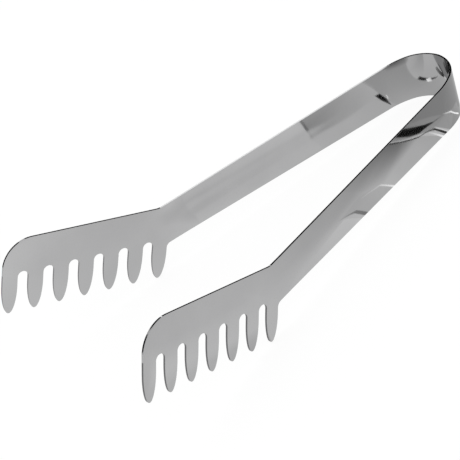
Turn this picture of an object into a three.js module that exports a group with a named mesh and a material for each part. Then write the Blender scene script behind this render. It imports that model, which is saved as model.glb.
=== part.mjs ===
// Spaghetti tongs in their resting pose: one strip of polished stainless spring sheet, blanked with a
// toothed comb at each end and bent round its middle into a bow. The strip has no pivot: the bow flexes
// when the arms are squeezed, so the strip is modelled as five zones that meet at narrow seams:
// the bow, two arms and two combs. Each arm and its comb hang in a group whose origin is the point about
// which the flexing bow turns them.
//
// Frame: millimetres, +Z up, +X towards the bow, the strip standing on edge. The tongs rest on the rear
// tooth of each comb and on the lower edge of the bow. The origin is the middle of that footprint.

import * as THREE from "three";

const radians = THREE.MathUtils.degToRad;

// Sheet
const SHEET = 0.8; // thickness of the strip
const SEAM = 0.3; // gap where two zones of the strip meet

// Bow, sizes on its inner face
const CROWN_RADIUS = 14.5; // round the back of the bow
const CROWN_HALF_ANGLE = radians(62); // from the centre line to where the curve eases
const SHOULDER_RADIUS = 29; // easing the crown into the straight arms
const CROWN_WIDTH = 21.8; // strip width at the middle of the crown
const CROWN_STEPS = 22; // facets in half the crown
const SHOULDER_STEPS = 7; // facets in one shoulder

// Arms
const ARM_SPREAD = radians(8.7); // each arm from the centre line, at rest
const ARM_LENGTH = 106; // straight length from the bow to the neck of the comb
const ARM_WIDTH_AT_BOW = 19.7;
const ARM_WIDTH_AT_COMB = 16.9;

// Combs, drawn in the plane of the sheet
const COMB_TURN = radians(21.3); // the comb's back edge turns up from the arm's edge by this much
const NECK_LENGTH = 6; // from the arm's end to the turn in the upper edge
const TURN_FILLET = 5; // inside the turn in the upper edge
const SPINE_DEPTH = 14; // from the comb's back edge down to the tops of the slots
const NOSE_RADIUS = 12.5; // front upper corner of the comb
const TOOTH_COUNT = 7;
const TOOTH_PITCH = 11;
const TOOTH_WIDTH = 6.5;
const TOOTH_LENGTH = 17; // from the top of a slot to the tip
const TIP_LENGTH = 11.5; // the part of a tooth that tapers, half an ellipse
const TOOTH_LEAN = radians(2); // tips lean towards the front
const REAR_TOOTH_SETBACK = 1.2; // rear tooth's middle behind the turn in the upper edge
const REAR_FILLET = 2.5; // between the rear tooth and the arm's lower edge
const CURVE_STEPS = 10; // facets in each round stretch of the outline

// Brushed-bright stainless steel
function steel() {
  return new THREE.MeshStandardMaterial({ color: 0xb4b5b6, metalness: 1, roughness: 0.24 });
}

// The angle, measured at the crown's centre, at which a shoulder runs out into its arm
const SHOULDER_END = Math.PI / 2 - ARM_SPREAD;

// A place on one half of the bow in plan. angle runs from 0 at the crown to SHOULDER_END, and depth is the
// distance outwards from the inner face. Both arcs share a tangent where the crown meets the shoulder.
function bowPoint(angle, depth) {
  const across = new THREE.Vector2(Math.cos(angle), Math.sin(angle));
  if (angle <= CROWN_HALF_ANGLE) return across.multiplyScalar(CROWN_RADIUS + depth);
  const meeting = new THREE.Vector2(Math.cos(CROWN_HALF_ANGLE), Math.sin(CROWN_HALF_ANGLE));
  const centre = meeting.multiplyScalar(CROWN_RADIUS - SHOULDER_RADIUS);
  return across.multiplyScalar(SHOULDER_RADIUS + depth).add(centre);
}

// Angles along the whole bow, from one seam over the crown to the other
function bowAngles() {
  const half = [];
  for (let i = 0; i < CROWN_STEPS; i += 1) {
    half.push((CROWN_HALF_ANGLE * (i + 1)) / CROWN_STEPS);
  }
  for (let i = 0; i < SHOULDER_STEPS; i += 1) {
    const share = (i + 1) / SHOULDER_STEPS;
    half.push(THREE.MathUtils.lerp(CROWN_HALF_ANGLE, SHOULDER_END, share));
  }
  return [...half.map((angle) => -angle).reverse(), 0, ...half];
}

// Length along the inner face from the middle of the crown
function bowLength(angle) {
  const turn = Math.abs(angle);
  const onCrown = Math.min(turn, CROWN_HALF_ANGLE) * CROWN_RADIUS;
  return onCrown + Math.max(turn - CROWN_HALF_ANGLE, 0) * SHOULDER_RADIUS;
}

// Half the strip's width on the bow, narrowing evenly from the crown to the arms
function bowHalfWidth(angle) {
  const share = bowLength(angle) / bowLength(SHOULDER_END);
  return THREE.MathUtils.lerp(CROWN_WIDTH, ARM_WIDTH_AT_BOW, share) / 2;
}

// The four corners of the strip's section at one place on the bow, in the order inner low, outer low,
// outer high, inner high
function bowSection(angle) {
  const hand = Math.sign(angle) || 1;
  const half = bowHalfWidth(angle);
  const inner = bowPoint(Math.abs(angle), 0);
  const outer = bowPoint(Math.abs(angle), SHEET);
  return [
    new THREE.Vector3(inner.x, hand * inner.y, -half),
    new THREE.Vector3(outer.x, hand * outer.y, -half),
    new THREE.Vector3(outer.x, hand * outer.y, half),
    new THREE.Vector3(inner.x, hand * inner.y, half),
  ];
}

// A closed solid through a row of four-cornered sections
function loft(sections) {
  const corners = sections[0].length;
  const positions = sections.flat().flatMap((point) => point.toArray());
  const triangles = [];
  for (let row = 0; row + 1 < sections.length; row += 1) {
    for (let corner = 0; corner < corners; corner += 1) {
      const a = row * corners + corner;
      const b = row * corners + ((corner + 1) % corners);
      triangles.push(a, b + corners, b, a, a + corners, b + corners);
    }
  }
  const last = (sections.length - 1) * corners;
  triangles.push(0, 1, 2, 0, 2, 3);
  triangles.push(last, last + 2, last + 1, last, last + 3, last + 2);
  const geometry = new THREE.BufferGeometry();
  geometry.setAttribute("position", new THREE.Float32BufferAttribute(positions, 3));
  geometry.setIndex(triangles);
  geometry.computeVertexNormals();
  return geometry;
}

// The bow: the spring that carries both arms
function bowSpring() {
  const mesh = new THREE.Mesh(loft(bowAngles().map(bowSection)), steel());
  mesh.name = "bow_spring";
  return mesh;
}

// The point about which an arm turns as its half of the bow flexes evenly: the centroid of that half
function flexPoint() {
  const half = bowAngles().filter((angle) => angle >= 0);
  const sum = new THREE.Vector2();
  for (let i = 0; i + 1 < half.length; i += 1) {
    const middle = (half[i] + half[i + 1]) / 2;
    sum.addScaledVector(bowPoint(middle, SHEET / 2), bowLength(half[i + 1]) - bowLength(half[i]));
  }
  return sum.divideScalar(bowLength(SHOULDER_END));
}

// Adds a rounded corner to an outline, between the point before it and the point after it
function roundCorner(outline, before, corner, after, radius) {
  const back = before.clone().sub(corner).normalize();
  const ahead = after.clone().sub(corner).normalize();
  const halfAngle = Math.acos(THREE.MathUtils.clamp(back.dot(ahead), -1, 1)) / 2;
  const reach = radius / Math.tan(halfAngle);
  const middle = back.clone().add(ahead).setLength(radius / Math.sin(halfAngle)).add(corner);
  const start = back.clone().multiplyScalar(reach).add(corner).sub(middle);
  const end = ahead.clone().multiplyScalar(reach).add(corner).sub(middle);
  outline.absarc(middle.x, middle.y, radius, start.angle(), end.angle(), start.cross(end) < 0);
}

// Where two lines cross, each given by a point and a direction
function crossing(point, along, other, otherAlong) {
  const share = other.clone().sub(point).cross(otherAlong) / along.cross(otherAlong);
  return point.clone().addScaledVector(along, share);
}

// The comb's outline. x runs along its back edge towards the front, y up, and the origin is the turn in the
// upper edge. The neck is the end of the arm, which comes down to the turn from behind.
function combOutline() {
  const tipward = new THREE.Vector2(Math.sin(TOOTH_LEAN), -Math.cos(TOOTH_LEAN));
  const forward = new THREE.Vector2(Math.cos(TOOTH_LEAN), Math.sin(TOOTH_LEAN));
  const armward = new THREE.Vector2(-Math.cos(COMB_TURN), Math.sin(COMB_TURN));
  const neckDown = new THREE.Vector2(-Math.sin(COMB_TURN), -Math.cos(COMB_TURN));
  const halfTooth = TOOTH_WIDTH / 2;
  const slotRadius = (TOOTH_PITCH - TOOTH_WIDTH) / 2;

  // A point on a tooth, counted from the rear: along it from the level of the slot tops, and across it
  const onTooth = (tooth, along, across) =>
    new THREE.Vector2(tooth * TOOTH_PITCH - REAR_TOOTH_SETBACK, -SPINE_DEPTH)
      .addScaledVector(tipward, along)
      .addScaledVector(forward, across);

  const turn = new THREE.Vector2();
  const neckTop = armward.clone().multiplyScalar(NECK_LENGTH);
  const neckFoot = neckTop.clone().addScaledVector(neckDown, ARM_WIDTH_AT_COMB);
  const frontFoot = onTooth(TOOTH_COUNT - 1, 0, halfTooth);
  const backEdge = new THREE.Vector2(1, 0);
  const nose = crossing(frontFoot, tipward, turn, backEdge);
  const rearSide = onTooth(0, TOOTH_LENGTH - TIP_LENGTH, -halfTooth);
  const rearCorner = crossing(rearSide, tipward, neckFoot, armward);

  const outline = new THREE.Shape();
  outline.moveTo(neckFoot.x, neckFoot.y);
  outline.lineTo(neckTop.x, neckTop.y);
  roundCorner(outline, neckTop, turn, nose, TURN_FILLET);
  roundCorner(outline, turn, nose, frontFoot, NOSE_RADIUS);
  for (let tooth = TOOTH_COUNT - 1; tooth >= 0; tooth -= 1) {
    const shoulder = onTooth(tooth, TOOTH_LENGTH - TIP_LENGTH, 0);
    outline.absellipse(shoulder.x, shoulder.y, halfTooth, TIP_LENGTH, 0, Math.PI, true, TOOTH_LEAN);
    if (tooth === 0) break;
    const slot = onTooth(tooth - 0.5, slotRadius, 0);
    outline.absellipse(slot.x, slot.y, slotRadius, slotRadius, 0, Math.PI, false, TOOTH_LEAN);
  }
  roundCorner(outline, rearSide, rearCorner, neckFoot, REAR_FILLET);
  outline.closePath();
  return outline;
}

// The arm's outline: x runs from the bow to the comb, y up, and the origin is the middle of its bow end
function armOutline() {
  const start = SEAM;
  return new THREE.Shape([
    new THREE.Vector2(start, -ARM_WIDTH_AT_BOW / 2),
    new THREE.Vector2(ARM_LENGTH, -ARM_WIDTH_AT_COMB / 2),
    new THREE.Vector2(ARM_LENGTH, ARM_WIDTH_AT_COMB / 2),
    new THREE.Vector2(start, ARM_WIDTH_AT_BOW / 2),
  ]);
}

// A flat zone of the strip: an outline given the sheet's thickness, stood on edge, outer face outwards
function flatZone(name, outline) {
  const geometry = new THREE.ExtrudeGeometry(outline, {
    depth: SHEET,
    bevelEnabled: false,
    curveSegments: CURVE_STEPS,
  });
  const mesh = new THREE.Mesh(geometry, steel());
  mesh.name = name;
  mesh.rotation.x = Math.PI / 2;
  return mesh;
}

// One side of the tongs. The group's origin is the flex point, so turning the group about its own z opens
// or closes that side. hand is 1 on the +Y side and -1 on the other, which is its mirror image.
function side(hand, word) {
  const pivot = flexPoint();
  const bowEnd = bowPoint(SHOULDER_END, 0);
  const flexing = new THREE.Group();
  flexing.name = `${word}_flex`;
  flexing.position.set(pivot.x, hand * pivot.y, 0);
  flexing.scale.y = hand;

  const blade = new THREE.Group();
  blade.position.set(bowEnd.x - pivot.x, bowEnd.y - pivot.y, 0);
  blade.rotation.z = Math.PI - ARM_SPREAD;
  flexing.add(blade);

  blade.add(flatZone(`${word}_arm`, armOutline()));
  const comb = flatZone(`${word}_comb`, combOutline());
  comb.position.set(ARM_LENGTH + SEAM + NECK_LENGTH, 0, ARM_WIDTH_AT_COMB / 2);
  comb.rotation.z = COMB_TURN;
  blade.add(comb);
  return flexing;
}

// The strip level, with its edges parallel to the ground. A user who points the combs away has left at -Y.
const strip = new THREE.Group();
strip.add(bowSpring(), side(1, "right"), side(-1, "left"));

// Tilts the strip until the lowest tooth tip and the bow's lower edge touch the same level
function settle(group) {
  group.updateMatrixWorld(true);
  const heel = new THREE.Vector2(CROWN_RADIUS + SHEET, -CROWN_WIDTH / 2);
  let slope = Infinity;
  const comb = group.getObjectByName("right_comb");
  const corners = comb.geometry.getAttribute("position");
  const corner = new THREE.Vector3();
  for (let i = 0; i < corners.count; i += 1) {
    corner.fromBufferAttribute(corners, i).applyMatrix4(comb.matrixWorld);
    slope = Math.min(slope, Math.atan2(corner.z - heel.y, heel.x - corner.x));
  }
  group.rotation.y = -slope;
  const box = new THREE.Box3().setFromObject(group, true);
  const middle = box.getCenter(new THREE.Vector3());
  group.position.set(-middle.x, -middle.y, -box.min.z);
}
settle(strip);

const tongs = new THREE.Group();
tongs.name = "spaghetti_tongs";
tongs.add(strip);

export default tongs;
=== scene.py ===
import math

import bpy
import numpy as np
from mathutils.geometry import delaunay_2d_cdt
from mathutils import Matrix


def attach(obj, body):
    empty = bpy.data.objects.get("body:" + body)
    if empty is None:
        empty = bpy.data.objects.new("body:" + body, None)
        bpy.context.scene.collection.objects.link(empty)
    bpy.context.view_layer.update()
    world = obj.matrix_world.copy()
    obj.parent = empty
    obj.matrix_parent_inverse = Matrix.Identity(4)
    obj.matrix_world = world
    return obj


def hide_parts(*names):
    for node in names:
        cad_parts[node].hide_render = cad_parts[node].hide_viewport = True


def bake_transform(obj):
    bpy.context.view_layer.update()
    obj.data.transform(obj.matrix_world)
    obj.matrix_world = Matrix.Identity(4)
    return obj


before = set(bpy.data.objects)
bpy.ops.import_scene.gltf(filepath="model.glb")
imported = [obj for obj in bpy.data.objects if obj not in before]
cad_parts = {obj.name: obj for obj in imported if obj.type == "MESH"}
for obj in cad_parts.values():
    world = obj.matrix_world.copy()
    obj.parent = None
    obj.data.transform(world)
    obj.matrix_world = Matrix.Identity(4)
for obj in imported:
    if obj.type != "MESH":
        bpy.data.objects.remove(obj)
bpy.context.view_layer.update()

# Bow
# The middle of the strip: stainless spring sheet 0.8 mm thick, rolled round a former into a deep bow that eases
# into the arms. It is modelled as two halves that meet at the crown.

# Sizes are in millimetres and lie on the strip's inner face; MM turns them into the part's metres
MM = 0.001
SHEET = 0.8
EDGE = 0.04
BORDER = 0.3
SPREAD = math.radians(8.7)
CROWN_RADIUS = 14.5
CROWN_HALF_ANGLE = math.radians(62)
SHOULDER_RADIUS = 29.0
SHOULDER_END = math.pi / 2 - SPREAD
CROWN_WIDTH = 21.8
ARM_WIDTH_AT_BOW = 19.7
TILT = math.radians(4.0485)
CROWN_CENTRE = np.array([84.3893, 0.0, 11.953])
ACROSS = np.array([math.sin(TILT), 0.0, math.cos(TILT)])
BACK = np.array([math.cos(TILT), 0.0, -math.sin(TILT)])
SIDE = np.array([0.0, 1.0, 0.0])
ACROSS_POINTS = 21
CROWN_STEPS = 36
SHOULDER_STEPS = 12
FACE_FINISH, EDGE_FINISH, TOOTH_FINISH = 0, 1, 2


def in_row(plan_x, plan_y, v):
    """A point of the level strip, in the part's frame, in metres."""
    return (CROWN_CENTRE + plan_x * BACK + plan_y * SIDE + v * ACROSS) * MM


def turned(plan_x, plan_y, v):
    """A direction of the level strip, in the part's frame."""
    d = plan_x * BACK + plan_y * SIDE + v * ACROSS
    return d / np.linalg.norm(d)


def rim():
    """Half of the strip's edge, from the inner face to the outer: inset, height and the way it faces."""
    lip = SHEET - EDGE
    steps = [math.radians(a) for a in (0, 22.5, 45, 67.5, 90)]
    row = [(EDGE + BORDER, 0.0, 0.0, -1.0)]
    row += [(EDGE - EDGE * math.sin(a), EDGE - EDGE * math.cos(a), math.sin(a), -math.cos(a)) for a in steps]
    row += [(EDGE - EDGE * math.cos(a), lip + EDGE * math.sin(a), math.cos(a), math.sin(a)) for a in steps]
    row += [(EDGE + BORDER, SHEET, 0.0, 1.0)]
    return row


edge = rim()


def across_strip(width):
    """Even places across a face of the strip, clear of its two edges."""
    inner = width / 2 - edge[0][0]
    return np.linspace(-inner, inner, ACROSS_POINTS + 2)[1:-1]


def strip_mesh(name, stations, hand, form):
    """A length of the strip with rounded edges.

    It is swept through stations, each a plan point, the way out of the strip, a width and the length so far.
    """
    places, ways, maps = [], [], []
    for x, y, out_x, out_y, width, along in stations:
        half = width / 2
        ring = [(v, 0.0, 0.0, -1.0) for v in across_strip(width)]
        ring += [(half - inset, h, nv, nh) for inset, h, nv, nh in edge]
        ring += [(v, SHEET, 0.0, 1.0) for v in across_strip(width)[::-1]]
        ring += [(inset - half, h, -nv, nh) for inset, h, nv, nh in reversed(edge)]
        for v, h, nv, nh in ring:
            lift, rise_u, rise_v = form(along, v)
            d = h + lift
            nu = -rise_u * nh
            places.append(in_row(x + out_x * d, hand * (y + out_y * d), v))
            ways.append(turned(nh * out_x - nu * out_y, hand * (nh * out_y + nu * out_x), nv - rise_v * nh))
            maps.append((along * MM, v * MM))
    rims = len(edge)
    count = 2 * (ACROSS_POINTS + rims)
    upper_rim, lower_rim = ACROSS_POINTS, 2 * ACROSS_POINTS + rims
    faces, slots = [], []
    for row in range(len(stations) - 1):
        for i in range(count):
            j = (i + 1) % count
            faces.append((row * count + i, row * count + j, (row + 1) * count + j, (row + 1) * count + i))
            on_edge = any(start < i < start + rims - 2 for start in (upper_rim, lower_rim))
            slots.append(EDGE_FINISH if on_edge else FACE_FINISH)
    first = tuple(range(count))
    last = tuple((len(stations) - 1) * count + i for i in first)
    faces += [first[::-1], last]
    slots += [FACE_FINISH, FACE_FINISH]
    return finish_mesh(name, hand, places, ways, maps, faces, slots)


def finish_mesh(name, hand, places, ways, maps, faces, slots):
    """An object from points, the ways they face, their place on the flat blank, and faces with their finish."""
    mesh = bpy.data.meshes.new(name)
    mesh.from_pydata([tuple(p) for p in places], [], faces if hand > 0 else [f[::-1] for f in faces])
    mesh.materials.append(polished)
    mesh.materials.append(cut_edge)
    mesh.polygons.foreach_set("use_smooth", [True] * len(faces))
    mesh.polygons.foreach_set("material_index", slots)
    layer = mesh.uv_layers.new(name="blank")
    corners = [0] * len(mesh.loops)
    mesh.loops.foreach_get("vertex_index", corners)
    layer.data.foreach_set("uv", [value for c in corners for value in maps[c]])
    mesh.update()
    mesh.normals_split_custom_set_from_vertices([tuple(w) for w in ways])
    thing = bpy.data.objects.new(name, mesh)
    bpy.context.scene.collection.objects.link(thing)
    return thing


def bow_point(angle):
    """The inner face of half the bow in plan, and the way out of it."""
    c, s = math.cos(angle), math.sin(angle)
    if angle <= CROWN_HALF_ANGLE:
        return CROWN_RADIUS * c, CROWN_RADIUS * s, c, s
    shift = CROWN_RADIUS - SHOULDER_RADIUS
    x = SHOULDER_RADIUS * c + shift * math.cos(CROWN_HALF_ANGLE)
    y = SHOULDER_RADIUS * s + shift * math.sin(CROWN_HALF_ANGLE)
    return x, y, c, s


def bow_length(angle):
    """How far the strip has run from the crown's middle, along its inner face."""
    return min(angle, CROWN_HALF_ANGLE) * CROWN_RADIUS + max(angle - CROWN_HALF_ANGLE, 0) * SHOULDER_RADIUS


def level(along, v):
    """The bow has no ridge: neither lift nor slope."""
    return 0.0, 0.0, 0.0


shoulder_turn = SHOULDER_END - CROWN_HALF_ANGLE
bow_angles = [CROWN_HALF_ANGLE * i / CROWN_STEPS for i in range(CROWN_STEPS + 1)]
bow_angles += [CROWN_HALF_ANGLE + shoulder_turn * (i + 1) / SHOULDER_STEPS for i in range(SHOULDER_STEPS)]
bow_stations = []
for angle in bow_angles:
    share = bow_length(angle) / bow_length(SHOULDER_END)
    width = CROWN_WIDTH + (ARM_WIDTH_AT_BOW - CROWN_WIDTH) * share
    bow_stations.append((*bow_point(angle), width, bow_length(angle)))

# The polished face of the strip: bright stainless with a fine lengthwise grain, faint waves and dull smudges
STREAK_STRETCH = (110, 9000, 1)
SMUDGE_SCALE = 70.0
WAVE_SCALE = 55.0
DULL_RANGE = (0.04, 0.08)
STREAK_ROUGHNESS = 0.04
WAVE_HEIGHT = 1.6e-5
STREAK_HEIGHT = 5e-7
TINT_RANGE = ((0.41, 0.41, 0.414), (0.46, 0.46, 0.462))
# A Map Range node's sockets for colours share their names with those for values, so they go by number
RANGE_VECTOR, RANGE_LOW, RANGE_HIGH, RANGE_RESULT = 6, 9, 10, 1

grain = bpy.data.node_groups.new("polish_grain", "ShaderNodeTree")
grain.interface.new_socket("Roughness", in_out="OUTPUT", socket_type="NodeSocketFloat")
grain.interface.new_socket("Height", in_out="OUTPUT", socket_type="NodeSocketFloat")
grain.interface.new_socket("Tint", in_out="OUTPUT", socket_type="NodeSocketColor")


def noise(tree, where, scale, detail):
    """A noise pattern over the places that are given."""
    node = tree.nodes.new("ShaderNodeTexNoise")
    node.inputs["Scale"].default_value = scale
    node.inputs["Detail"].default_value = detail
    tree.links.new(where, node.inputs["Vector"])
    return node.outputs["Fac"]


def scaled(tree, value, factor, added=None):
    """A value times a factor, plus another value where one is given."""
    node = tree.nodes.new("ShaderNodeMath")
    node.operation = "MULTIPLY" if added is None else "MULTIPLY_ADD"
    node.inputs[1].default_value = factor
    tree.links.new(value, node.inputs[0])
    if added is not None:
        tree.links.new(added, node.inputs[2])
    return node.outputs["Value"]


blank = grain.nodes.new("ShaderNodeUVMap")
blank.uv_map = "blank"
stretch = grain.nodes.new("ShaderNodeMapping")
stretch.inputs["Scale"].default_value = STREAK_STRETCH
grain.links.new(blank.outputs["UV"], stretch.inputs["Vector"])
streaks = noise(grain, stretch.outputs["Vector"], 1.0, 3.0)
smudges = noise(grain, blank.outputs["UV"], SMUDGE_SCALE, 3.0)
waves = noise(grain, blank.outputs["UV"], WAVE_SCALE, 0.5)
dull = grain.nodes.new("ShaderNodeMapRange")
dull.inputs["From Min"].default_value = 0.3
dull.inputs["From Max"].default_value = 0.7
dull.inputs["To Min"].default_value = DULL_RANGE[0]
dull.inputs["To Max"].default_value = DULL_RANGE[1]
grain.links.new(smudges, dull.inputs["Value"])
tint = grain.nodes.new("ShaderNodeMapRange")
tint.data_type = "FLOAT_VECTOR"
tint.inputs[RANGE_LOW].default_value = TINT_RANGE[0]
tint.inputs[RANGE_HIGH].default_value = TINT_RANGE[1]
grain.links.new(smudges, tint.inputs[RANGE_VECTOR])
ends = grain.nodes.new("NodeGroupOutput")
roughness = scaled(grain, streaks, STREAK_ROUGHNESS, dull.outputs["Result"])
height = scaled(grain, streaks, STREAK_HEIGHT, scaled(grain, waves, WAVE_HEIGHT))
grain.links.new(roughness, ends.inputs["Roughness"])
grain.links.new(height, ends.inputs["Height"])
grain.links.new(tint.outputs[RANGE_RESULT], ends.inputs["Tint"])

polished = bpy.data.materials.new("polished_steel")
polished.use_nodes = True
nodes, links = polished.node_tree.nodes, polished.node_tree.links
shader = nodes["Principled BSDF"]
shader.inputs["Metallic"].default_value = 1.0
surface = nodes.new("ShaderNodeGroup")
surface.node_tree = grain
bump = nodes.new("ShaderNodeBump")
bump.inputs["Strength"].default_value = 1.0
bump.inputs["Distance"].default_value = 1.0
links.new(surface.outputs["Tint"], shader.inputs["Base Color"])
links.new(surface.outputs["Roughness"], shader.inputs["Roughness"])
links.new(surface.outputs["Height"], bump.inputs["Height"])
links.new(bump.outputs["Normal"], shader.inputs["Normal"])

# The blanked edge of the strip: tumbled about as smooth and bright as the faces, with fine shear marks
SHEAR_SCALE = 1500.0

cut_edge = bpy.data.materials.new("cut_edge_steel")
cut_edge.use_nodes = True
nodes, links = cut_edge.node_tree.nodes, cut_edge.node_tree.links
shader = nodes["Principled BSDF"]
shader.inputs["Metallic"].default_value = 1.0
shader.inputs["Base Color"].default_value = (0.42, 0.42, 0.424, 1)
spot = nodes.new("ShaderNodeTexCoord")
rough = nodes.new("ShaderNodeMapRange")
rough.inputs["To Min"].default_value = 0.04
rough.inputs["To Max"].default_value = 0.1
links.new(noise(cut_edge.node_tree, spot.outputs["Object"], SHEAR_SCALE, 2.0), rough.inputs["Value"])
links.new(rough.outputs["Result"], shader.inputs["Roughness"])

HANDS = (("right", 1), ("left", -1))
seam_x, seam_y, out_x, out_y = bow_point(SHOULDER_END)
for word, hand in HANDS:
    half_bow = strip_mesh(f"bow_spring_{word}", bow_stations, hand, level)
    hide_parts("bow_spring")
    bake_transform(half_bow)

# Arms
# Straight tapered lengths of the strip, left and right. Each is pressed into a very shallow roof with its ridge
# along the middle of the outer face, which stiffens it; the ridge dies away into the bow and into the flat comb.
ARM_LENGTH = 106.3
ARM_WIDTH_AT_COMB = 16.9
RIDGE_SLOPE = 0.06
RIDGE_ROUND = 3.0
RIDGE_RUN_IN = 26.0
RIDGE_END = 110.5
RIDGE_RUN_OUT = 12.0
RIDGE_STEP = 0.2
ARM_STEPS = 44


def arm_width(u):
    return ARM_WIDTH_AT_BOW + (ARM_WIDTH_AT_COMB - ARM_WIDTH_AT_BOW) * min(u / ARM_LENGTH, 1.0)


def ridge(u, v):
    """How far the roof shape lifts the sheet outwards at a place on the arm, and how it falls across the arm."""
    grow = min(max(u / RIDGE_RUN_IN, 0.0), 1.0)
    fade = min(max((RIDGE_END - u) / RIDGE_RUN_OUT, 0.0), 1.0)
    slope = RIDGE_SLOPE * grow * grow * (3 - 2 * grow) * fade * fade * (3 - 2 * fade)
    half = arm_width(u) / 2
    if abs(v) > half:
        return 0.0, 0.0
    run = math.hypot(v, RIDGE_ROUND)
    return slope * (math.hypot(half, RIDGE_ROUND) - run), slope * v / run


def arm_form(u, v):
    """The sheet's lift at a place on the arm, with its slopes along and across the arm."""
    lift, fall = ridge(u, v)
    ahead, _ = ridge(u + RIDGE_STEP, v)
    behind, _ = ridge(u - RIDGE_STEP, v)
    return lift, (ahead - behind) / (2 * RIDGE_STEP), -fall


arm_stations = []
for i in range(ARM_STEPS + 1):
    u = ARM_LENGTH * i / ARM_STEPS
    arm_stations.append((seam_x - u * out_y, seam_y + u * out_x, out_x, out_y, arm_width(u), u))
for word, hand in HANDS:
    arm = strip_mesh(f"{word}_arm_strip", arm_stations, hand, arm_form)
    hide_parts(f"{word}_arm")
    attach(arm, f"{word}_jaw")

# Combs
# The gripping ends, blanked in one piece with the strip: a deep rounded nose, a straight back turned up from the
# arm, and seven tapered teeth between round-topped slots.
NECK = 6.0
TURN = math.radians(21.3)
TURN_FILLET = 5.0
SPINE = 14.0
NOSE = 12.5
TEETH = 7
PITCH = 11.0
TOOTH = 6.5
REACH = 17.0
TIP = 11.5
LEAN = math.radians(2)
SETBACK = 1.2
REAR_FILLET = 2.5
FILLET_POINTS = 10
NOSE_POINTS = 32
TIP_POINTS = 33
SLOT_POINTS = 17
SHORTEST_SIDE = 0.02
LONGEST_SIDE = 2.0
GRID = 2.2
SLOPE_STEP = 0.1


def arc(centre, radius, start, end, count):
    angles = np.linspace(start, end, count)
    return [centre + radius * np.array([math.cos(a), math.sin(a)]) for a in angles]


def fillet(before, corner, after, radius, count):
    """Points round a corner between two straight edges."""
    back = (before - corner) / np.linalg.norm(before - corner)
    ahead = (after - corner) / np.linalg.norm(after - corner)
    half = math.acos(float(np.clip(back @ ahead, -1, 1))) / 2
    centre = corner + (back + ahead) / np.linalg.norm(back + ahead) * radius / math.sin(half)
    reach = radius / math.tan(half)
    a, b = corner + back * reach - centre, corner + ahead * reach - centre
    start = math.atan2(a[1], a[0])
    turn = (math.atan2(b[1], b[0]) - start + math.pi) % (2 * math.pi) - math.pi
    return arc(centre, radius, start, start + turn, count)


def crossing(point, way, other, other_way):
    """Where two lines meet."""
    m = np.array([way, -other_way]).T
    return point + way * np.linalg.solve(m, other - point)[0]


tipward = np.array([math.sin(LEAN), -math.cos(LEAN)])
forward = np.array([math.cos(LEAN), math.sin(LEAN)])
armward = np.array([-math.cos(TURN), math.sin(TURN)])
neck_down = np.array([-math.sin(TURN), -math.cos(TURN)])


def on_tooth(tooth, along, across):
    """A place on a tooth, from the middle of its root."""
    return np.array([tooth * PITCH - SETBACK, -SPINE]) + along * tipward + across * forward


slot_radius = (PITCH - TOOTH) / 2
neck_top = armward * NECK
neck_foot = neck_top + neck_down * ARM_WIDTH_AT_COMB
front_foot = on_tooth(TEETH - 1, 0, TOOTH / 2)
turn_point = np.zeros(2)
nose_point = crossing(front_foot, tipward, turn_point, np.array([1.0, 0.0]))
rear_side = on_tooth(0, REACH - TIP, -TOOTH / 2)
rear_corner = crossing(rear_side, tipward, neck_foot, armward)
outline = [neck_top, neck_top * 0.5]
outline += fillet(neck_top, turn_point, nose_point, TURN_FILLET, FILLET_POINTS)
outline += fillet(turn_point, nose_point, front_foot, NOSE, NOSE_POINTS)
for tooth in range(TEETH - 1, -1, -1):
    root = on_tooth(tooth, REACH - TIP, 0)
    for a in np.linspace(0, math.pi, TIP_POINTS):
        outline.append(root + forward * TOOTH / 2 * math.cos(a) + tipward * TIP * math.sin(a))
    if tooth:
        top = on_tooth(tooth - 0.5, slot_radius, 0)
        for a in np.linspace(0, math.pi, SLOT_POINTS):
            outline.append(top + forward * slot_radius * math.cos(a) - tipward * slot_radius * math.sin(a))
outline += fillet(rear_side, rear_corner, neck_foot, REAR_FILLET, FILLET_POINTS)
outline += [neck_foot * 0.5 + rear_corner * 0.5, neck_foot]

# Long straight stretches get a few more points, so that the sheet stays evenly divided
closer = [outline[0]]
for point in outline[1:]:
    start = closer[-1]
    gap = np.linalg.norm(point - start)
    if gap < SHORTEST_SIDE:
        continue
    steps = max(1, int(gap / LONGEST_SIDE))
    closer += [start + (point - start) * (i + 1) / steps for i in range(steps)]
outline = np.array(closer)
run = np.gradient(outline, axis=0)
run[0] = outline[1] - outline[0]
run[-1] = outline[-1] - outline[-2]
run /= np.linalg.norm(run, axis=1)[:, None]
inward = np.stack([run[:, 1], -run[:, 0]], 1)


def on_blank(point):
    """A place on the comb, measured along and across the arm."""
    u = ARM_LENGTH + NECK + point[0] * math.cos(TURN) - point[1] * math.sin(TURN)
    v = ARM_WIDTH_AT_COMB / 2 + point[0] * math.sin(TURN) + point[1] * math.cos(TURN)
    return u, v


def comb_lift(point):
    return ridge(*on_blank(point))[0]


def comb_form(point):
    """The sheet's lift at a place on the comb, with its slopes along and across the comb."""
    ahead, up = np.array([SLOPE_STEP, 0]), np.array([0, SLOPE_STEP])
    along = (comb_lift(point + ahead) - comb_lift(point - ahead)) / (2 * SLOPE_STEP)
    across = (comb_lift(point + up) - comb_lift(point - up)) / (2 * SLOPE_STEP)
    return comb_lift(point), along, across


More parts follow.
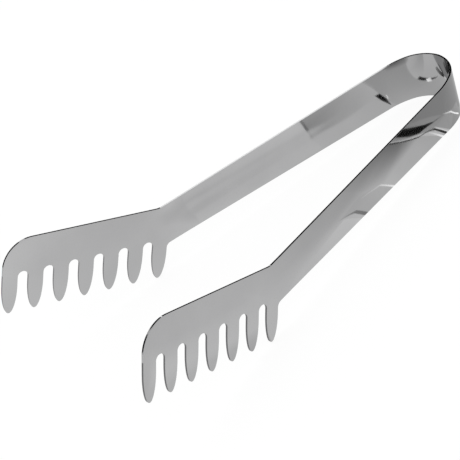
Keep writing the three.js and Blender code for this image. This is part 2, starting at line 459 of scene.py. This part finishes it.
def comb_point(point, h, outward, nh, hand):
    """A place on the comb's sheet, the way it faces and its place on the flat blank."""
    u, v = on_blank(point)
    lift, slope_x, slope_y = comb_form(point)
    nx, ny = outward[0] - slope_x * nh, outward[1] - slope_y * nh
    nu = nx * math.cos(TURN) - ny * math.sin(TURN)
    nv = nx * math.sin(TURN) + ny * math.cos(TURN)
    d = h + lift
    place = in_row(seam_x - u * out_y + d * out_x, hand * (seam_y + u * out_x + d * out_y), v)
    way = turned(nh * out_x - nu * out_y, hand * (nh * out_y + nu * out_x), nv)
    return place, way, (u * MM, v * MM)


# Both faces are filled with an even net of points inside the outline, which meets the arm's own points at the neck
neck_line = [neck_top + neck_down * (ARM_WIDTH_AT_COMB / 2 - v) for v in across_strip(ARM_WIDTH_AT_COMB)]
border = np.vstack([outline + inward * edge[0][0], neck_line])
low, high = border.min(0), border.max(0)
net = []
for x in np.arange(low[0], high[0], GRID):
    for y in np.arange(low[1], high[1], GRID):
        apart = border - np.array([x, y])
        if np.min(np.hypot(apart[:, 0], apart[:, 1])) < GRID / 2:
            continue
        turns = np.arctan2(apart[:, 1], apart[:, 0])
        wind = (np.diff(np.append(turns, turns[0])) + math.pi) % (2 * math.pi) - math.pi
        if abs(wind.sum()) > math.pi:
            net.append(np.array([x, y]))
flat = [tuple(p) for p in border] + [tuple(p) for p in net]
border_sides = [(i, (i + 1) % len(border)) for i in range(len(border))]
_, _, triangles, origins, _, _ = delaunay_2d_cdt(flat, border_sides, [], 1, 1e-6)
plates = [tuple(origins[i][0] for i in face) for face in triangles]
inner_spots = neck_line + net

# The punched sides of the teeth are left darker than the tumbled edge of the strip; their very dark base colour is
# partly painted shade, standing in for the dark surroundings they mirror
tooth_edge = cut_edge.copy()
tooth_edge.name = "punched_edge_steel"
tooth_edge.node_tree.nodes["Principled BSDF"].inputs["Base Color"].default_value = (0.14, 0.14, 0.142, 1)

n = len(outline)
top_row = len(edge) - 1
inner_at = len(edge) * n
outer_at = inner_at + len(inner_spots)
faces, slots = [], []
for k in range(top_row):
    for i in range(n - 1):
        faces.append((k * n + i, (k + 1) * n + i, (k + 1) * n + i + 1, k * n + i + 1))
        finish = TOOTH_FINISH if outline[i][1] < -SPINE else EDGE_FINISH
        slots.append(finish if 0 < k < top_row - 1 else FACE_FINISH)
for plate in plates:
    faces.append(tuple(i if i < n else inner_at + i - n for i in plate[::-1]))
    faces.append(tuple(top_row * n + i if i < n else outer_at + i - n for i in plate))
    slots += [FACE_FINISH, FACE_FINISH]
across_neck = range(len(neck_line))
seam = [k * n for k in range(top_row + 1)] + [outer_at + i for i in reversed(across_neck)]
seam += [k * n + n - 1 for k in reversed(range(top_row + 1))] + [inner_at + i for i in across_neck]
faces.append(tuple(seam[::-1]))
slots.append(FACE_FINISH)
for word, hand in HANDS:
    points = [comb_point(at + into * inset, h, -into * out, nh, hand)
              for inset, h, out, nh in edge for at, into in zip(outline, inward)]
    points += [comb_point(at, 0.0, (0, 0), -1.0, hand) for at in inner_spots]
    points += [comb_point(at, SHEET, (0, 0), 1.0, hand) for at in inner_spots]
    places, ways, maps = zip(*points)
    comb = finish_mesh(f"{word}_comb_plate", hand, places, ways, maps, faces, slots)
    comb.data.materials.append(tooth_edge)
    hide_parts(f"{word}_comb")
    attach(comb, f"{word}_jaw")

# Stage
# A plain white floor that keeps a faint shadow, a white surround and soft overhead light. Glowing paper cards of
# painted shadow and painted highlight lie round the part and flags stand behind it for the polished steel to mirror;
# the camera doesn't see them and they cast no shadow.

# The floor and the lamp are sized in metres, the cards and flags in millimetres
FLOOR_HALF = 3
FLOOR_DROP = 0.0003
FLOOR_TONE = 0.9
FLOOR_GLOW = 1.015
GLOW_SHARE = 0.88
SURROUND_LIGHT = 0.9
SURROUND_SEEN = 1.0


def seen_plainly(tree):
    """One where the camera, a mirror or glass looks at a thing, and nought where it only gives light."""
    path = tree.nodes.new("ShaderNodeLightPath")
    seen = path.outputs["Is Camera Ray"]
    for kind in ("Is Glossy Ray", "Is Transmission Ray"):
        either = tree.nodes.new("ShaderNodeMath")
        either.operation = "MAXIMUM"
        tree.links.new(seen, either.inputs[0])
        tree.links.new(path.outputs[kind], either.inputs[1])
        seen = either.outputs["Value"]
    return seen


floor_mesh = bpy.data.meshes.new("floor")
floor_corners = [(x * FLOOR_HALF, y * FLOOR_HALF, 0) for x, y in ((-1, -1), (1, -1), (1, 1), (-1, 1))]
floor_mesh.from_pydata(floor_corners, [], [(0, 1, 2, 3)])
floor = bpy.data.objects.new("floor", floor_mesh)
floor.location.z = -FLOOR_DROP
bpy.context.scene.collection.objects.link(floor)
pale = bpy.data.materials.new("pale_floor")
pale.use_nodes = True
nodes, links = pale.node_tree.nodes, pale.node_tree.links
nodes.clear()
matt = nodes.new("ShaderNodeBsdfDiffuse")
matt.inputs["Color"].default_value = (FLOOR_TONE, FLOOR_TONE, FLOOR_TONE, 1)
glow = nodes.new("ShaderNodeEmission")
glow.inputs["Strength"].default_value = FLOOR_GLOW
mix = nodes.new("ShaderNodeMixShader")
out = nodes.new("ShaderNodeOutputMaterial")
links.new(scaled(pale.node_tree, seen_plainly(pale.node_tree), GLOW_SHARE), mix.inputs["Fac"])
links.new(matt.outputs["BSDF"], mix.inputs[1])
links.new(glow.outputs["Emission"], mix.inputs[2])
links.new(mix.outputs["Shader"], out.inputs["Surface"])
floor_mesh.materials.append(pale)

world = bpy.data.worlds.new("surround")
bpy.context.scene.world = world
world.use_nodes = True
nodes, links = world.node_tree.nodes, world.node_tree.links
sky = nodes["Background"]
sky.inputs["Color"].default_value = (1, 1, 1, 1)
strength = nodes.new("ShaderNodeMapRange")
strength.inputs["To Min"].default_value = SURROUND_LIGHT
strength.inputs["To Max"].default_value = SURROUND_SEEN
links.new(seen_plainly(world.node_tree), strength.inputs["Value"])
links.new(strength.outputs["Result"], sky.inputs["Strength"])

lamp = bpy.data.lights.new("soft_box", "AREA")
lamp.size = 0.5
lamp.energy = 2.0
soft_box = bpy.data.objects.new("soft_box", lamp)
AZIMUTH, HEIGHT = math.radians(150), math.radians(75)
soft_box.location = (math.cos(AZIMUTH) * math.cos(HEIGHT), math.sin(AZIMUTH) * math.cos(HEIGHT), math.sin(HEIGHT))
soft_box.rotation_euler = (math.pi / 2 - HEIGHT, 0, AZIMUTH + math.pi / 2)
soft_box.visible_glossy = False
bpy.context.scene.collection.objects.link(soft_box)

# The cards glow with their own tone and are seen only in reflections: painted light and shade for the steel to mirror
painted_light_look = bpy.data.materials.new("paper")
painted_light_look.use_nodes = True
painted_light_look.node_tree.nodes.clear()
shade = painted_light_look.node_tree.nodes.new("ShaderNodeAttribute")
shade.attribute_name = "shade"
shine = painted_light_look.node_tree.nodes.new("ShaderNodeEmission")
end = painted_light_look.node_tree.nodes.new("ShaderNodeOutputMaterial")
painted_light_look.node_tree.links.new(shade.outputs["Color"], shine.inputs["Color"])
painted_light_look.node_tree.links.new(shine.outputs["Emission"], end.inputs["Surface"])


def paper(name, rows, tones):
    """A glowing sheet of painted light and shade through rows of two points each, with a tone at each point, shaded
    evenly from row to row.
    """
    mesh = bpy.data.meshes.new(name)
    points = [(x * MM, y * MM, z * MM) for row in rows for x, y, z in row]
    mesh.from_pydata(points, [], [(2 * i, 2 * i + 1, 2 * i + 3, 2 * i + 2) for i in range(len(rows) - 1)])
    shades = mesh.color_attributes.new("shade", "FLOAT_COLOR", "POINT")
    for spot, tone in zip(shades.data, [t for pair in tones for t in pair]):
        spot.color = (tone, tone, tone, 1)
    mesh.materials.append(painted_light_look)
    sheet = bpy.data.objects.new(name, mesh)
    sheet.visible_camera = False
    sheet.visible_diffuse = False
    sheet.visible_shadow = False
    sheet.visible_volume_scatter = False
    bpy.context.scene.collection.objects.link(sheet)


def card(name, z, *rows):
    """A card on the floor: each row gives its place in Y, its two edges in X and the tone at each edge."""
    paper(name, [((a, y, z), (b, y, z)) for y, a, b, _, _ in rows], [(s, t) for _, _, _, s, t in rows])


# Graded grey and pale cards in front of the left arm and its comb: painted shadow and painted light on the floor,
# which the steel mirrors as darker and lighter bands
card("front_card", 0, (-46, -120, -20, 1.0, 0.98), (-60, -120, -20, 0.97, 0.93), (-115, -120, -20, 0.85, 0.85))
paper("pale_card", [((-20, -42, 0), (44, -34, 0)), ((-20, -54, 0), (44, -46, 0)), ((-20, -115, 0), (44, -115, 0))],
      [(1.0, 0.95), (0.93, 0.7), (0.85, 0.7)])
paper("bright_card", [((2, -24, 0.05), (29.5, -24, 0.05)), ((2, -39, 0.05), (25.5, -37.5, 0.05))],
      [(1.0, 1.1), (1.0, 1.08)])
paper("comb_shade", [((-84, -67, 0.1), (-42, -34, 0.1)), ((-77, -71, 0.1), (-37, -39, 0.1)),
                     ((-69, -74, 0.1), (-32, -42, 0.1)), ((-57, -82, 0.1), (-23, -55, 0.1))],
      [(0.95, 0.76), (0.97, 0.86), (1.05, 1.02), (0.92, 0.95)])
card("grey_card", 0, (-18, 44, 80, 0.97, 0.8), (-30, 44, 78, 0.97, 0.8), (-40, 44, 75, 0.8, 0.32),
     (-46, 44, 74, 0.68, 0.3), (-115, 44, 74, 0.68, 0.3))
card("middle_card", 0.05, (-20, 31, 48, 0.84, 0.88), (-33, 31, 46, 0.82, 0.86), (-40, 24.5, 40, 0.82, 0.8))
card("gap_card", 0, (-24, 82, 93, 0.6, 0.55), (-50, 74, 85, 0.45, 0.45))
card("end_card", 0.05, (-24.5, 92.4, 250, 0.46, 0.6), (-60, 82, 250, 0.36, 0.5))
card("side_card", 0, (40, 108, 250, 0.75, 0.75), (-24.5, 92.4, 250, 0.46, 0.6))
card("near_card", 0, (-12, 84, 103, 0.7, 0.7), (-24.5, 84.6, 92.4, 0.62, 0.62))
# Pale and grey cards between the arms, for the right arm and its comb: painted light and shade that the steel mirrors,
# with a darker painted line that the arm mirrors as a soft crease along it
card("comb_card", 0, (36, -110, -34, 0.97, 1.0), (8, -110, -31, 1.06, 0.94), (-34, -110, -26, 1.18, 0.86))
card("neck_card", 0, (36, -34, -26, 1.0, 1.03), (8, -31, -21, 0.94, 1.03), (-34, -26, -8, 0.86, 1.03))
card("arm_card", 0, (36, -26, 10, 1.03, 1.0), (8, -21, 10, 1.03, 1.0), (-26, -11, 10, 1.03, 1.0))
paper("crease_card", [((-12, -2, 0.05), (47.6, -5, 0.05)), ((-12, 4, 0.05), (47.6, 0.8, 0.05)),
                      ((-12, 5.6, 0.05), (47.6, 2, 0.05)), ((-12, 6.6, 0.05), (47.6, 2.8, 0.05)),
                      ((-12, 14, 0.05), (47.6, 11, 0.05))],
      [(0.99, 1.06), (0.94, 1.0), (0.85, 0.9), (0.97, 0.93), (1.04, 0.95)])
paper("crease_end", [((-28, -2, 0.05), (-12, -2, 0.05)), ((-28, 5.6, 0.05), (-12, 5.6, 0.05)),
                     ((-28, 14, 0.05), (-12, 14, 0.05))],
      [(0.94, 0.99), (0.96, 0.85), (0.99, 1.04)])
# Black and dark cards: painted shadows of the bow and the arms on the floor, which the steel mirrors as a black band
# and dark lines
card("black_card", 0.1, (-24.7, 92.2, 92.8, 0.45, 0.45), (-27, 86.6, 87.8, 0.05, 0.05),
     (-31.2, 80.6, 86.1, 0.01, 0.01), (-37, 79.0, 85.2, 0.01, 0.01), (-50, 78.0, 83.0, 0.01, 0.01))
card("black_line", 0.15, (-18, 81.0, 82.7, 0.1, 0.1), (-24.6, 82.6, 83.5, 0.02, 0.02),
     (-29.6, 77.4, 78.5, 0.02, 0.02), (-48, 73.0, 74.0, 0.02, 0.02))
card("painted_shadow_line", 0.1, (-22, 29.8, 32.0, 0.3, 0.3), (-34.5, 29.3, 31.2, 0.4, 0.4), (-40.3, 24.2, 24.9, 0.75, 0.75))
# Glowing white strips: painted highlights, which the steel mirrors as bright streaks
card("painted_highlight_end", 0.15, (-13.5, 93.6, 94.6, 1.8, 1.8), (-19.8, 95.1, 96.1, 1.8, 1.8), (-25, 92.3, 92.8, 1.1, 1.1))
card("painted_highlight_gap", 0.2, (-18, 82.3, 82.9, 1.5, 1.5), (-24.6, 84.0, 84.5, 1.1, 1.1))
card("painted_highlight_line", 0.2, (-18.5, 78.8, 80.0, 1.9, 1.9), (-25.5, 80.3, 81.0, 1.1, 1.1))
card("painted_highlight_middle", 0.1, (-22, 47.7, 48.8, 1.9, 1.9), (-31.6, 46.2, 47.0, 1.4, 1.4),
     (-37.3, 37.9, 38.7, 0.9, 0.9))
# Painted shade under the bow and between the arms, and a glowing flap that paints a glint inside the bow
card("bow_shade", 0.05, (13, 84, 98, 0.78, 0.76), (2, 82.3, 98, 0.66, 0.7), (-18, 79.6, 98, 0.58, 0.6))
card("inner_card", 0, (24, 10, 86, 1.0, 0.82), (1.2, 10, 86, 1.0, 0.82))
card("curl_card", 0.05, (2.1, 48.2, 66, 0.5, 0.84), (1.0, 48.2, 82, 0.5, 0.88), (-10, 48.2, 82, 0.7, 0.86),
     (-20, 48.2, 82, 0.85, 0.9))
paper("foot_card", [((74, -15.9, 0.1), (90, -12.8, 0.1)), ((74, -16.1, 3.5), (90, -13, 3.5)),
                    ((74, -16.3, 8), (90, -13.2, 8))],
      [(0.75, 0.6), (0.5, 0.1), (0.3, 0.01)])
card("curl_line", 0.1, (2.2, 47.1, 48.3, 0.25, 0.25), (-6, 47.6, 48.8, 0.4, 0.4))
card("wedge", 0.2, (10.9, 82.3, 82.6, 0.2, 0.2), (5.2, 80.8, 83.0, 0.01, 0.01), (-0.2, 79.7, 82.1, 0.01, 0.01))
card("dark_tab", 0.1, (16.5, 76, 88, 0.3, 0.02), (13.4, 76, 88, 0.45, 0.02))
paper("painted_glint_flap", [((83.6, 4.9, 0), (83.6, 6.6, 0)), ((83.6, 4.4, 1.4), (83.6, 6.2, 2))], [(1.9, 1.25), (1.7, 1.1)])
# Black flags behind the part and beyond its noses, and a glowing white one among them that paints a soft highlight on
# an arm's top edge; the edges mirror them
FLAG_Y = 300
BLACK, WHITE = 0.01, 1.8
for name, x0, x1, z0, z1, tone in (("low_flag", -600, 700, 20, 222, BLACK), ("high_flag", 0, 450, 252, 480, BLACK),
                                   ("end_flag", 318, 450, 222, 252, BLACK), ("nose_flag", -600, 0, 222, 480, BLACK),
                                   ("painted_highlight_flag", 130, 318, 222, 252, WHITE)):
    paper(name, [((x0, FLAG_Y, z0), (x1, FLAG_Y, z0)), ((x0, FLAG_Y, z1), (x1, FLAG_Y, z1))],
          [(tone, tone), (tone, tone)])
paper("side_flag", [((-140, -15, 36), (-140, 110, 36)), ((-140, -15, 96), (-140, 110, 96))],
      [(BLACK, BLACK), (BLACK, BLACK)])

# Camera
# It stands at the photograph's viewpoint, about 75 cm away, rolled so that the arms rise to the right.
lens = bpy.data.cameras.new("camera")
lens.lens = 151.608
lens.sensor_width = 36.0
lens.clip_start = 0.01
eye = bpy.data.objects.new("camera", lens)
eye.location = (-0.289013, -0.515823, 0.491454)
eye.rotation_euler = (math.radians(48.928), math.radians(17.7868), math.radians(-42.4494))
bpy.context.scene.collection.objects.link(eye)
bpy.context.scene.camera = eye
bpy.context.scene.view_settings.view_transform = "Standard"
